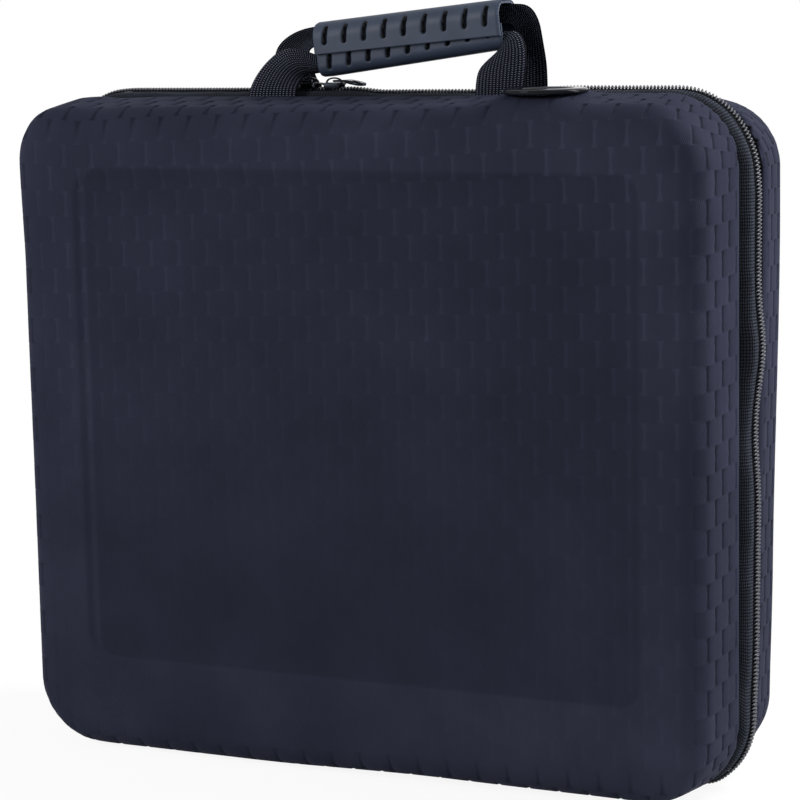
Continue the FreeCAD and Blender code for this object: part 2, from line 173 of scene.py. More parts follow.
def lengths_along(pts):
    """Length along a polyline at each of its points."""
    return np.r_[0, np.cumsum(np.linalg.norm(np.diff(pts, axis=0), axis=1))]


def points(*parts):
    """Points from their coordinates, each broadcast to the shape of all."""
    return np.stack(np.broadcast_arrays(*parts), -1)


def unit(vectors):
    """The vectors at length 1."""
    return vectors / np.linalg.norm(vectors, axis=-1, keepdims=True)


def flat_grid(s, t):
    """Flat coordinates of a grid: s down the rows, t across."""
    return points(s[:, None], t).reshape(-1, 2)


def add_piece(name, verts, faces, body, mats, nodes, uv=None, mat_index=None):
    """Mesh object from millimetre points; rides on body and stands for nodes."""
    verts = np.asarray(verts, dtype=float).reshape(-1, 3)
    mesh = bpy.data.meshes.new(name)
    mesh.from_pydata((verts * MM).tolist(), [], [[int(i) for i in f] for f in faces])
    if uv is not None:
        layer = mesh.uv_layers.new(name="flat")
        loops = np.empty(len(mesh.loops), dtype=np.int32)
        mesh.loops.foreach_get("vertex_index", loops)
        layer.data.foreach_set("uv", np.asarray(uv, dtype=np.float32)[loops].ravel())
    for m in mats if isinstance(mats, list) else [mats]:
        mesh.materials.append(m)
    if mat_index is not None:
        mesh.polygons.foreach_set("material_index", np.asarray(mat_index, dtype=np.int32))
    mesh.polygons.foreach_set("use_smooth", np.full(len(mesh.polygons), True))
    mesh.validate()
    obj = bpy.data.objects.new(name, mesh)
    bpy.context.scene.collection.objects.link(obj)
    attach(obj, body)
    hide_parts(*nodes)
    return obj


# Materials

def add_node(tree, kind, inputs=(), **props):
    """New node with its properties set, and its inputs filled with values or linked to sockets."""
    n = tree.nodes.new(kind)
    for key, value in props.items():
        setattr(n, key, value)
    for key, value in dict(inputs).items():
        if isinstance(value, bpy.types.NodeSocket):
            tree.links.new(value, n.inputs[key])
        else:
            n.inputs[key].default_value = value
    return n


class Finish:
    """Principled material with small helpers for its node tree."""

    def __init__(self, name, colour, roughness, **sockets):
        self.mat = bpy.data.materials.new(name)
        self.mat.use_nodes = True
        self.tree = self.mat.node_tree
        self.bsdf = self.tree.nodes["Principled BSDF"]
        self.bsdf.inputs["Base Color"].default_value = (*colour, 1)
        self.bsdf.inputs["Roughness"].default_value = roughness
        for key, value in sockets.items():
            self.bsdf.inputs[key.replace("_", " ").title().replace("Ior", "IOR")].default_value = value

    def node(self, kind, inputs=(), **props):
        return add_node(self.tree, kind, inputs, **props)

    def link(self, out, into):
        self.tree.links.new(out, into)

    def coords(self, uv=False, scale=(1, 1, 1)):
        """Object coordinates, or the piece's own flat millimetres, scaled."""
        if uv:
            source = self.node("ShaderNodeUVMap", uv_map="flat").outputs["UV"]
        else:
            source = self.node("ShaderNodeTexCoord").outputs["Object"]
        return self.node("ShaderNodeMapping", {"Vector": source, "Scale": scale}).outputs["Vector"]

    def split(self, vector):
        """The vector's outputs X, Y and Z."""
        return self.node("ShaderNodeSeparateXYZ", {0: vector}).outputs

    def noise(self, vector, scale, detail=3.0):
        inputs = {"Vector": vector, "Scale": scale, "Detail": detail, "Roughness": 0.55}
        return self.node("ShaderNodeTexNoise", inputs).outputs["Fac"]

    def wave(self, vector, period, direction="X", distortion=0.0):
        inputs = {"Vector": vector, "Scale": math.pi / 10 / period, "Distortion": distortion}
        return self.node("ShaderNodeTexWave", inputs, bands_direction=direction).outputs["Fac"]

    def maths(self, operation, a, b=0.0):
        return self.node("ShaderNodeMath", {0: a, 1: b}, operation=operation).outputs[0]

    def add(self, a, b):
        return self.maths("ADD", a, b)

    def less(self, a, b):
        return self.maths("SUBTRACT", a, b)

    def times(self, a, b):
        return self.maths("MULTIPLY", a, b)

    def step(self, value, low, high):
        """Smooth step from 0 at low to 1 at high."""
        inputs = {"Value": value, "From Min": min(low, high), "From Max": max(low, high),
                  "To Min": float(low > high), "To Max": float(low < high)}
        return self.node("ShaderNodeMapRange", inputs, interpolation_type="SMOOTHSTEP").outputs["Result"]

    def colours(self, fac, stops):
        """Base colour from stops of sRGB triples."""
        n = self.node("ShaderNodeValToRGB", {"Fac": fac})
        while len(n.color_ramp.elements) < len(stops):
            n.color_ramp.elements.new(0.5)
        for element, (pos, colour) in zip(n.color_ramp.elements, stops):
            element.position = pos
            element.color = (*lin(*colour), 1)
        self.link(n.outputs["Color"], self.bsdf.inputs["Base Color"])

    def rough(self, fac, low, high):
        n = self.node("ShaderNodeMapRange", {"Value": fac, "To Min": low, "To Max": high})
        self.link(n.outputs["Result"], self.bsdf.inputs["Roughness"])

    def bump(self, height, distance, strength):
        n = self.node("ShaderNodeBump", {"Height": height, "Distance": distance, "Strength": strength})
        self.link(n.outputs["Normal"], self.bsdf.inputs["Normal"])


def lin(*rgb):
    """Linear colour of an sRGB triple of 0 to 255."""
    shares = [v / 255 for v in rgb]
    return tuple(v / 12.92 if v <= 0.04045 else ((v + 0.055) / 1.055) ** 2.4 for v in shares)


def slit_tone_and_painted_shade(f):
    """Tone of the embossed slits: above 0 on the face, where they are paler, and below 0 on the walls, where
    it is painted shade.
    """
    flat = f.split(f.coords(True))
    p, q = flat["X"], flat["Y"]
    row = f.maths("FLOOR", f.maths("DIVIDE", q, PITCH_Z))
    z = f.maths("ABSOLUTE", f.less(q, f.times(f.add(row, 0.5), PITCH_Z)))
    shifted = f.less(p, f.times(f.maths("FLOORED_MODULO", row, 2), PITCH_X / 2))
    x = f.less(f.maths("FLOORED_MODULO", f.add(shifted, PITCH_X / 2), PITCH_X), PITCH_X / 2)
    flare = f.maths("POWER", f.maths("DIVIDE", z, SLIT_LONG), FLARE_POWER)
    past = f.less(f.maths("ABSOLUTE", x), f.times(flare, 1.1))
    sides = f.step(f.maths("ABSOLUTE", p), *SIDE_WALL)
    wall = f.maths("MAXIMUM", f.maths("MAXIMUM", sides, f.step(q, *TOP_WALL)), f.step(q, *LOW_WALL))
    # pale and clearest at the upper right of the face; on the walls painted shade inside the slits, more so
    # on the rear half
    clear = f.add(f.times(f.step(q, *CLEAR_UP), 0.65), f.times(f.step(p, -60, 190), 0.35))
    pale = f.times(f.step(past, 1.1, 0.3), f.times(clear, 0.2))
    rear = f.step(f.split(f.coords())["Y"], 0.0, 0.02)
    # painted shade inside the wall slits, deeper on the rear half
    dark = f.times(f.step(past, 1.2, 0.4), f.add(-0.25, f.times(rear, -0.15)))
    return f.add(f.times(pale, f.less(1.0, wall)), f.times(dark, wall))


def cloth_rim(f):
    """1 on the raised rim and the walls, 0 on the sunk panel, whose cloth is coloured darker."""
    place = f.split(f.coords(scale=(1000, 1000, 1000)))
    left, right, low, high, r = RIM_TONE
    reach = []
    for axis, a, b in (("X", left, right), ("Z", low, high)):
        off = f.maths("ABSOLUTE", f.less(place[axis], (a + b) / 2))
        reach.append(f.less(off, (b - a) / 2 - r))
    squares = [f.maths("POWER", f.maths("MAXIMUM", v, 0), 2) for v in reach]
    corner = f.maths("SQRT", f.add(*squares))
    past = f.add(corner, f.maths("MINIMUM", f.maths("MAXIMUM", *reach), 0))
    return f.step(past, r - RIM_SOFT, r + RIM_SOFT)


def cloth_finish():
    f = Finish("shell_cloth", lin(32, 34, 46), 0.8,
               sheen_weight=0.02, sheen_roughness=0.4, specular_ior_level=0.03)
    f.bsdf.inputs["Sheen Tint"].default_value = (*lin(150, 160, 200), 1)
    at = f.coords()
    patch = f.times(f.noise(at, 14.0, 4.0), 0.6)
    tone = f.add(patch, f.times(cloth_rim(f), 0.16))
    stops = [(0.0, (8, 9, 14)), (0.18, (27, 29, 40)), (0.42, (33, 35, 48)), (0.75, (44, 46, 60))]
    f.colours(f.add(tone, slit_tone_and_painted_shade(f)), stops)
    ribs = f.wave(f.coords(scale=(1, 1, 0.35)), 0.00075, "DIAGONAL", 2.0)
    f.bump(f.add(ribs, f.noise(at, 1500.0, 2.0)), 0.00012, 0.5)
    f.rough(f.noise(at, 60.0), 0.72, 0.88)
    return f.mat


def lining_finish():
    f = Finish("lining", lin(34, 35, 40), 0.9, sheen_weight=0.1, specular_ior_level=0.15)
    at = f.coords()
    f.colours(f.noise(at, 30.0, 4.0), [(0.3, (26, 27, 32)), (0.7, (36, 37, 43))])
    f.bump(f.times(f.wave(at, 0.00095, "X"), f.wave(at, 0.00095, "Z")), 0.00025, 0.6)
    return f.mat


def tape_finish():
    f = Finish("zip_tape", lin(38, 41, 47), 0.8, specular_ior_level=0.06)
    flat = f.coords(True)
    # painted shade where the tape dips under the lip, and again under the teeth; span is the curve's width on
    # the tape
    span = 40.0
    shade = f.node("ShaderNodeFloatCurve", {"Value": f.maths("DIVIDE", f.split(flat)["Y"], span)})
    curve = shade.mapping.curves[0]
    rise = [(0.12, 0.15), (0.17, 0.26), (0.24, 0.5), (0.3, 0.8), (0.345, 1.0)]
    for place in rise + [(0.36, 1.0), (0.385, 0.05)]:
        curve.points.new(*place)
    curve.points[0].location = (0.0, 0.0)
    curve.points[-1].location = (1.0, 0.05)
    shade.mapping.update()
    ribs = f.wave(flat, 1.65, "X", 0.5)
    weave = f.times(f.add(0.25, ribs), f.add(0.6, f.wave(flat, 0.8, "Y")))
    # the painted shade scales the weave's colour down towards black
    seen = f.times(f.times(weave, 0.5), shade.outputs["Value"])
    f.colours(seen, [(0.0, (4, 5, 8)), (0.4, (41, 45, 54)), (1.0, (72, 78, 90))])
    f.bump(weave, 0.00045, 0.9)
    return f.mat


def webbing_finish(name="webbing", low=(5, 6, 11), mid=(20, 23, 33), high=(106, 111, 128)):
    f = Finish(name, lin(*mid), 0.75, specular_ior_level=0.05)
    rib_pitch, pick_pitch = 1.8, 1.5
    flat = f.coords(True)
    rib = f.wave(flat, rib_pitch, "Y")
    # the crossing threads step by half a pick from one rib to the next
    step = f.times(f.wave(flat, 2 * rib_pitch, "Y"), pick_pitch / 2)
    parts = f.split(flat)
    shifted = f.node("ShaderNodeCombineXYZ", {"X": f.add(parts["X"], step), "Y": parts["Y"]})
    pick = f.wave(shifted.outputs["Vector"], pick_pitch, "X", 0.2)
    weave = f.times(f.maths("POWER", rib, 0.5), f.maths("POWER", pick, 1.2))
    f.colours(weave, [(0.12, low), (0.5, mid), (0.95, high)])
    f.bump(weave, 0.0006, 0.8)
    return f.mat


def rubber_finish():
    """Rubber of the grips; the flat coordinate says how far a point is from the nearest slot's edge."""
    f = Finish("grip_rubber", lin(40, 48, 62), 0.5, specular_ior_level=0.2)
    at = f.coords()
    shade = f.add(0.3, f.times(f.noise(at, 55.0, 4.0), 0.7))
    # near black inside a slot and at its edge: painted shade, together with the dark webbing behind the slots
    outside = f.step(f.split(f.coords(True))["X"], -0.1, 0.3)
    stops = [(0.0, (5, 6, 9)), (0.3, (30, 37, 50)), (0.5, (38, 46, 60)), (0.8, (46, 54, 70))]
    f.colours(f.times(shade, outside), stops)
    f.rough(f.noise(at, 120.0), 0.42, 0.6)
    f.bump(f.noise(at, 2600.0, 2.0), 0.00006, 0.5)
    return f.mat


def mottled_finish(name, base, roughness, grain, dark, pale, rough=None, bump=None, **sockets):
    """Slightly uneven plain material; grain, rough and bump start with a noise's scale and detail."""
    f = Finish(name, lin(*base), roughness, **sockets)
    at = f.coords()
    f.colours(f.noise(at, *grain), [(0.3, dark), (0.7, pale)])
    if rough:
        f.rough(f.noise(at, *rough[:2]), *rough[2:])
    if bump:
        f.bump(f.noise(at, *bump[:2]), *bump[2:])
    return f.mat


def elastic_finish(name="elastic", colour=(30, 31, 36)):
    f = Finish(name, lin(*colour), 0.8, sheen_weight=0.08, specular_ior_level=0.2)
    flat = f.coords(True)
    weave = f.times(f.wave(flat, 1.1, "Y"), f.add(0.5, f.wave(flat, 2.2, "X", 0.6)))
    dark, pale = ([c * share for c in colour] for share in (0.6, 1.5))
    f.colours(weave, [(0.0, dark), (0.5, colour), (1.0, pale)])
    f.bump(weave, 0.0004, 0.7)
    return f.mat


CLOTH = cloth_finish()
LINING = lining_finish()
TAPE = tape_finish()
COIL = mottled_finish("zip_coil", (46, 49, 56), 0.36, (500.0, 2.0), (28, 30, 36), (54, 57, 64),
                      rough=(900.0, 2.0, 0.28, 0.44), specular_ior_level=0.3)
WEBBING = webbing_finish()
STRIP = webbing_finish("hinge_cloth", (12, 13, 17), (27, 28, 34), (52, 54, 61))
RUBBER = rubber_finish()
# Near black and matte: painted shade in the grips' slots over the dark webbing, and the cap's underside and
# foot
DULL = mottled_finish("dull_dark", (12, 13, 17), 0.85, (90.0, 3.0), (9, 10, 13), (15, 16, 21),
                      bump=(1800.0, 2.0, 0.00008, 0.5), specular_ior_level=0.02)
METAL = mottled_finish("slider_metal", (58, 61, 66), 0.22, (300.0, 4.0), (14, 16, 20), (38, 41, 47),
                       rough=(700.0, 3.0, 0.14, 0.34), metallic=1.0)
GLOSS = mottled_finish("gloss_cap", (15, 16, 21), 0.08, (120.0, 4.0), (11, 12, 16), (19, 20, 26),
                       rough=(90.0, 4.0, 0.05, 0.11), bump=(40.0, 2.0, 0.0001, 0.3), specular_ior_level=0.09)
ELASTIC = elastic_finish()
BINDING = elastic_finish("binding", (40, 41, 46))
NET = elastic_finish("pocket_mesh", (38, 39, 44))


# Moulded halves

def fillet(corner, face, r, count, way):
    """Round edge from a face into its drafted wall; way is 1 for normals that point out, -1 for in."""
    flat = corner - r * math.tan(FILLET_TURN / 2)
    return [(flat + r * math.sin(t), face - r + r * math.cos(t), way * math.sin(t), way * math.cos(t))
            for t in np.linspace(0, FILLET_TURN, count)]


def lip_edge(wall, way):
    """Round edge at the lip of a wall that stands at the offset wall; way is as for fillet."""
    return [(wall + way * LIP_ROUND * (math.cos(t) - 1), LIP + LIP_ROUND * (1 - math.sin(t)),
             way * math.cos(t), -math.sin(t)) for t in np.linspace(0, math.pi / 2, 5)]


def outer_section():
    """Arc length, outward offset, depth and normal of the outside, from the corner's centre to the lip."""
    corner = -(FACE - LIP - SKIRT) * math.tan(DRAFT)
    parts = [
        [(-CORNER_R, FACE, 0, 1)],
        fillet(corner, FACE, FILLET, 14, 1),
        [(0, LIP + SKIRT, math.sin(FILLET_TURN), math.cos(FILLET_TURN)), (0, LIP + SKIRT - 0.5, 1, 0)],
        lip_edge(0, 1),
    ]
    return section_table(parts)


def inner_section():
    """The same for the lining, from the inner face round the lip's inner edge to the outside cloth."""
    bend = LIP + SKIRT - WALL * math.tan(DRAFT / 2)
    corner = -WALL - (INNER - bend) * math.tan(DRAFT)
    parts = [
        [(-CORNER_R, INNER, 0, -1)],
        fillet(corner, INNER, FILLET - WALL, 8, -1),
        [(-WALL, bend, -1, 0)],
        lip_edge(-WALL, -1),
        [(-LIP_ROUND, LIP, 0, -1)],
    ]
    return section_table(parts)


def section_table(parts):
    """Rows of arc length, outward offset, depth and the normal's two parts."""
    pts = np.array([p for part in parts for p in part], dtype=float)
    return np.c_[lengths_along(pts[:, :2]), pts]


def on_section(table, p, q):
    """Positions and normals of the flattened points p, q, with their distance past the core rectangle."""
    px = np.clip(p, -CORE_X, CORE_X)
    pz = np.clip(q, *CORE_Z)
    dx, dz = p - px, q - pz
    r = np.hypot(dx, dz)
    ux = np.divide(dx, r, out=np.zeros_like(r), where=r > 1e-9)
    uz = np.divide(dz, r, out=np.zeros_like(r), where=r > 1e-9)
    at = np.minimum(r, table[-1, 0])
    n, d, nn, nd = (np.interp(at, table[:, 0], table[:, k]) for k in (1, 2, 3, 4))
    out = n + CORNER_R
    pos = points(px + ux * out, -d, pz + uz * out)
    normal = points(ux * nn, -nd, uz * nn)
    return pos, normal, r


def emboss(p, q, wall):
    """0 to 1: rows of upright slits, each row shifted by half a pitch.

    A slit widens to its ends, and it is narrower on the walls.
    """
    row = np.floor(q / PITCH_Z)
    z = np.abs(q - (row + 0.5) * PITCH_Z)
    x = p - PITCH_X / 2 * (row % 2)
    x = np.abs((x + PITCH_X / 2) % PITCH_X - PITCH_X / 2)
    # half width at the middle of a slit, and what it gains at the ends
    waist, gain = 0.75 - 0.25 * wall, 1.2 - 0.3 * wall
    half = waist + gain * (z / SLIT_LONG) ** FLARE_POWER
    return (1 - ramp(half - 0.55, half + 0.5, x)) * (1 - ramp(*SLIT_TIP, z))


def panel_depth(x, z):
    """0 outside the sunk panel, 1 on its floor."""
    half_x, z0, z1, r = PANEL
    dx = np.abs(x) - (half_x - r)
    dz = np.abs(z - (z0 + z1) / 2) - ((z1 - z0) / 2 - r)
    inside = r - np.hypot(np.maximum(dx, 0), np.maximum(dz, 0)) - np.minimum(np.maximum(dx, dz), 0)
    return 0.75 * ramp(0, 0.5 * PANEL_SLOPE, inside) + 0.25 * ramp(0, 1.5 * PANEL_SLOPE, inside)


def lines(low, high, pitch, offsets, shift=0.0):
    """Grid lines at the offsets round every multiple of pitch, with the two ends."""
    first = math.floor((low - shift) / pitch) - 1
    last = math.ceil((high - shift) / pitch) + 1
    all_lines = np.concatenate([shift + k * pitch + np.array(offsets) for k in range(first, last + 1)])
    all_lines = all_lines[(all_lines > low + 0.2) & (all_lines < high - 0.2)]
    return np.unique(np.r_[low, all_lines, high])


def moulded(table, p_lines, q_lines, shape, slope=0.0):
    """Grid over the flattened half, its rows sloping; shape(p, q, r, pos, normal) gives the positions."""
    p, row = (a.ravel() for a in np.meshgrid(p_lines, q_lines))
    q = row + slope * p
    pos, normal, r = on_section(table, p, q)
    pos = shape(p, row, r, pos, normal)
    faces = grid_faces(len(q_lines), len(p_lines))
    faces = faces[r[faces].min(1) < table[-1, 0] - 1e-6]
    used, faces = np.unique(faces, return_inverse=True)
    return pos[used], faces.reshape(-1, 4), np.c_[p, row][used]


def settle_front(pos):
    """Where the soft front half stands a little off the moulding; the ramps' limits are places on the bag."""
    x, y, z = pos[:, 0], pos[:, 1], pos[:, 2]
    corner = ramp(150, 182, -x) * ramp(265, 325, z)
    top = ramp(-110, -30, -x) * (1 + 0.6 * ramp(120, 165, -x)) * (1 - ramp(168, 192, -x)) * ramp(300, 350, z)
    sag = ramp(-40, 60, -x) * (1 - ramp(150, 195, -x)) * (1 - ramp(0, 60, z)) * ramp(20, 55, -y)
    lip = ramp(150, 190, x) * ramp(-45, -16, y)
    move = np.zeros_like(pos)
    move[:, 0] = -CORNER_OUT * corner - LIP_DRAWN * lip
    move[:, 2] = CORNER_UP * corner - TOP_SLACK * top - FACE_SAG * sag
    return pos + move


def settle_rear(pos):
    """The rear half leans to the right at the top and has slumped a little."""
    x, z = pos[:, 0], pos[:, 2]
    right = ramp(60, 190, x)
    move = np.zeros_like(pos)
    move[:, 0] = right * (REAR_LEAN * ramp(90, 310, z) - REAR_TUCK * (1 - ramp(20, 110, z)))
    move[:, 2] = -REAR_SLUMP * ramp(220, 345, z)
    return pos + move


FRONT, REAR = (1, settle_front), (-1, settle_rear)


def outer_shape(seed, settle, seat):
    """Shape of a half's cloth: soft waves, embossed slits, sunk panel and the cap's seat, then settled."""
    rng = np.random.default_rng(seed)
    turn = 2 * math.pi
    waves = [(rng.uniform(0.012, 0.035), rng.uniform(0, turn), rng.uniform(0, turn)) for _ in range(6)]

    def shape(p, q, r, pos, normal):
        sunk = panel_depth(pos[:, 0], pos[:, 2]) * (pos[:, 1] < -FACE + 1)
        edge = ramp(*WALL_SLITS, r)
        clear = np.clip(0.15 + 0.7 * ramp(*CLEAR_UP, q) + 0.35 * ramp(40, 190, p), 0, 1)
        depth = FACE_EMBOSS * clear * (1 - edge) + WALL_EMBOSS * edge
        depth *= 1 - ramp(*SLITS_END, r)
        soft = sum(np.sin(p * f * math.cos(a) + q * f * math.sin(a) + b) for f, a, b in waves) * FACE_WAVE
        soft *= 1 - ramp(*WAVES_END, r)
        rise = 0.0
        if seat is not None:
            away = np.hypot(pos[:, 0] - seat[0], pos[:, 1] - seat[1])
            near = (1 - ramp(SEAT_IN, SEAT_OUT, away)) * (pos[:, 2] > BAG_H / 2)
            rise = SEAT_RISE * near
            depth *= 1 - near
        push = soft - depth * emboss(p - SLIT_P, q - ROW_Q, edge)
        pos = pos + normal * push[:, None]
        pos[:, 1] += sunk * PANEL_SINK
        pos[:, 2] += rise
        return settle(pos)

    return shape


def make_halves():
    outside, inside = outer_section(), inner_section()
    reach, in_reach = outside[-1, 0], inside[-1, 0]
    wide = CORE_X + reach
    low, high = CORE_Z[0] - reach - ROW_SLOPE * wide, CORE_Z[1] + reach + ROW_SLOPE * wide
    # lines lie close beside the slits, and close together where the panel's side goes down
    p_out = lines(-wide, wide, PITCH_X / 2, (0, -0.7, 0.7, -1.7, 1.7), SLIT_P)
    border = np.outer((-1, 1), PANEL[0] - np.array((0.0, 1.0, 2.2, 3.4, 4.5)))
    p_out = np.unique(np.r_[p_out[np.abs(np.abs(p_out) - PANEL[0] + 2.2) > 3.2], border.ravel()])
    q_out = lines(low, high, PITCH_Z, (0, 0.5, -0.5, 1.4, -1.4, 3.3, -3.3, PITCH_Z / 2), ROW_Q)
    p_in = lines(-CORE_X - in_reach, CORE_X + in_reach, LINING_GRID, (0,))
    q_in = lines(CORE_Z[0] - in_reach, CORE_Z[1] + in_reach, LINING_GRID, (0,))
    for side, (sign, settle), seed, seat in (("front", FRONT, 3, CAP), ("rear", REAR, 8, None)):
        flip, body, node = np.array([1, sign, 1]), side + "_half", side + "_shell"
        verts, faces, uv = moulded(outside, p_out, q_out, outer_shape(seed, settle, seat), ROW_SLOPE)
        add_piece(node + "_skin", verts * flip, turned(faces, sign < 0), body, CLOTH, [node],
                  uv - np.array([SLIT_P, ROW_Q]))
        verts, faces, uv = moulded(inside, p_in, q_in, lambda p, q, r, pos, normal, s=settle: s(pos))
        add_piece(node + "_lining", verts * flip, turned(faces, sign > 0), body, LINING,
                  [node], uv)


make_halves()


# Zip

def outline_path(bottom, end_x):
    """Lookup of x, z and outward direction by length along the bag's outline, from -end_x to end_x below."""
    low, high = bottom + CORNER_R, BAG_H - CORNER_R
    pts = [(-end_x, bottom, 0, -1)]
    for cx, cz, start in ((-CORE_X, low, 270), (-CORE_X, high, 180), (CORE_X, high, 90), (CORE_X, low, 0)):
        for a in np.radians(np.linspace(start, start - 90, 61)):
            pts.append((cx + CORNER_R * math.cos(a), cz + CORNER_R * math.sin(a), math.cos(a), math.sin(a)))
    pts.append((end_x, bottom, 0, -1))
    pts = np.array(pts)
    s = lengths_along(pts[:, :2])

    def at(length):
        return tuple(np.interp(length, s, pts[:, k]) for k in range(4))

    return at, s[-1]


def soften(corners, cut, steps=4):
    """Polyline with each inner corner rounded off over the length cut."""
    pts = np.array(corners, dtype=float)
    out = [pts[0]]
    for a, b, c in zip(pts, pts[1:], pts[2:]):
        near = min(cut, np.linalg.norm(a - b) / 2, np.linalg.norm(c - b) / 2)
        p = b + (a - b) / np.linalg.norm(a - b) * near
        q = b + (c - b) / np.linalg.norm(c - b) * near
        for t in np.linspace(0, 1, steps):
            out.append((1 - t) ** 2 * p + 2 * t * (1 - t) * b + t * t * q)
    out.append(pts[-1])
    return np.array(out)


def bell(amount, middle, spread, z):
    """Smooth hump of the amount at the middle height."""
    return amount * np.exp(-((z - middle) / spread) ** 2)


def chain_ease(x, z):
    """Outward push and drop of the closed chain: loose on the right, low on top, dropped at the feet."""
    push = SLACK_HIGH * ramp(60, 330, z) * (1 - ramp(308, 342, z))
    push = push + SLACK_LOW * ramp(30, 90, z) * (1 - ramp(150, 185, z))
    push = (x > 150) * (push + bell(*BULGE, z) - bell(*DIP, z))
    low = LEFT_LOW * ramp(-40, 100, -x) + CORNER_LOW * ramp(152, 186, -x)
    low = low + PULL_LOW * ramp(-22, 0, x) * (1 - ramp(60, 110, x))
    push = push - ramp(300, 350, z) * low
    drop = FOOT_DROP * ramp(163, 184, np.abs(x)) * (1 - ramp(30, 110, z))
    return push, drop


def sweep(at, lengths, profile, side, push):
    """Rows of profile points (outward, depth) along the outline, moved outward by push.

    Deep points stay on the half's lip, the ones at the middle follow the chain.
    """
    sign, settle = side
    x, z, nx, nz = (v[:, None] for v in at(lengths))
    n = profile[None, :, 0] + push
    pos = points(x + nx * n, -sign * profile[:, 1], z + nz * n)
    ease, drop = chain_ease(x, z)
    loose = pos + points(nx * ease, 0.0, nz * ease - drop)
    fixed = settle(pos.reshape(-1, 3)).reshape(pos.shape)
    free = (1 - ramp(*TAPE_FREE, profile[:, 1]))[None, :, None]
    return free * loose + (1 - free) * fixed


def make_tapes():
    at, total = outline_path(ZIP_RAISE, ZIP_END)
    s = np.linspace(0, total, 620)
    outer = soften([(-WALL, LIP + 4), (-WALL, TAPE_FOOT), (-0.9, 9.8), (0.7, 7.2), (TAPE_N, 4.8),
                    (TAPE_N, 0.6)], 1.2)
    inner = outer[::-1] - np.array([TAPE_T, 0])
    profile = np.r_[outer, inner]
    along = lengths_along(profile)
    slack = ramp(3.4, 6.0, profile[:, 1]) * (1 - ramp(9.0, TAPE_FOOT, profile[:, 1]))
    for name, side, phase in (("front", FRONT, 0.0), ("rear", REAR, 1.7)):
        wave = sum(high * np.sin(s / radian + share * phase) for high, radian, share in RIPPLES)
        grid = sweep(at, s, profile, side, (wave[:, None] - 0.2) * slack)
        faces = grid_faces(len(s), len(profile), close_cols=True)
        add_piece(name + "_tape", grid, turned(faces, side[0] > 0), name + "_half",
                  TAPE, [name + "_zip_tape"], flat_grid(s, along))


def make_teeth():
    at, total = outline_path(ZIP_RAISE, ZIP_END)
    count = int(total / TOOTH_PITCH)
    # depth from the zip's centre line, half width along the zip, half height, middle height
    stations = np.array([
        (3.40, 0.03, 0.05, 1.8), (3.2, 0.36, 0.5, 1.85), (2.7, 0.5, 0.75, 2.0), (1.9, 0.55, 0.95, 2.15),
        (1.2, 0.55, 1.05, 2.2), (0.5, 0.48, 1.0, 2.15), (-0.3, 0.4, 0.75, 2.0), (-0.75, 0.03, 0.05, 1.9),
    ])
    ring = np.radians(np.arange(0, 360, 45) + 22.5)
    one = grid_faces(len(stations), len(ring), close_cols=True)
    per = len(stations) * len(ring)
    faces = (one[None] + (np.arange(count) * per)[:, None, None]).reshape(-1, 4)
    for name, sign, phase in (("front", 1, 0.25), ("rear", -1, 0.75)):
        s = (np.arange(count) + phase) * TOOTH_PITCH
        along = stations[:, 1, None] * np.cos(ring) + TOOTH_LEAN * sign * (stations[:, 0, None] - LEAN_FROM)
        x, z, nx, nz = (v[:, None, None] for v in at(s))
        ease, drop = chain_ease(x, z)
        up = stations[:, 3, None] + stations[:, 2, None] * np.sin(ring) + ease
        pos = points(x + nx * up + nz * along, -sign * stations[:, 0, None], z + nz * up - nx * along - drop)
        add_piece(name + "_teeth", pos, turned(faces, sign < 0), name + "_half", COIL,
                  [name + "_zip_coil"])


def make_bindings():
    at, total = outline_path(ZIP_RAISE, 0.0)
    s = np.linspace(0, total, 500)[:-1]
    near, far = TAPE_FOOT, LIP + 5.5
    profile = soften([(-4.9, far), (-5.6, far), (-5.9, far - 1), (-5.6, (near + far) / 2), (-5.9, near + 1),
                      (-5.6, near), (-4.9, near)], 0.5)
    along = lengths_along(profile)
    for name, side in (("front", FRONT), ("rear", REAR)):
        grid = sweep(at, s, profile, side, 0.12 * np.sin(s / 1.1)[:, None])
        faces = grid_faces(len(s), len(profile), close_rows=True)
        add_piece(name + "_binding", grid, turned(faces, side[0] < 0), name + "_half",
                  BINDING, [name + "_seam_binding"], flat_grid(s, along))


make_tapes()
make_teeth()
make_bindings()


# Handle

def on_grip(along, rise):
    """Bag x and z of a point along the grip from its left end and up from its axis."""
    c, s = math.cos(GRIP_TILT), math.sin(GRIP_TILT)
    return GRIP_LEFT[0] + along * c - rise * s, GRIP_LEFT[1] + along * s + rise * c


def corner_cut(corners, rounds=4, closed=False):
    """Smooth curve inside a control polygon; an open one keeps its two ends."""
    pts = np.array(corners, dtype=float)
    for _ in range(rounds):
        here, after = (pts, np.roll(pts, -1, 0)) if closed else (pts[:-1], pts[1:])
        cut = np.empty((2 * len(here), pts.shape[1]))
        cut[0::2], cut[1::2] = 0.75 * here + 0.25 * after, 0.25 * here + 0.75 * after
        pts = cut if closed else np.vstack([pts[0], cut[1:-1], pts[-1]])
    return pts


def band(mid, half):
    """Points and faces of a thin closed band round the grid mid; half is its half thickness, across it."""
    off = unit(np.cross(np.gradient(mid, axis=0), np.gradient(mid, axis=1))) * half[None, :, None]
    grid = np.concatenate([mid + off, (mid - off)[:, ::-1]], 1)
    return grid, grid_faces(grid.shape[0], grid.shape[1], close_cols=True)


def resampled(pts, count):
    """Evenly spaced rows along the loop, measured on its two edges."""
    s = lengths_along(pts[:, :4])
    t = np.linspace(0, s[-1], count)
    return np.stack([np.interp(t, s, column) for column in pts.T], 1), t


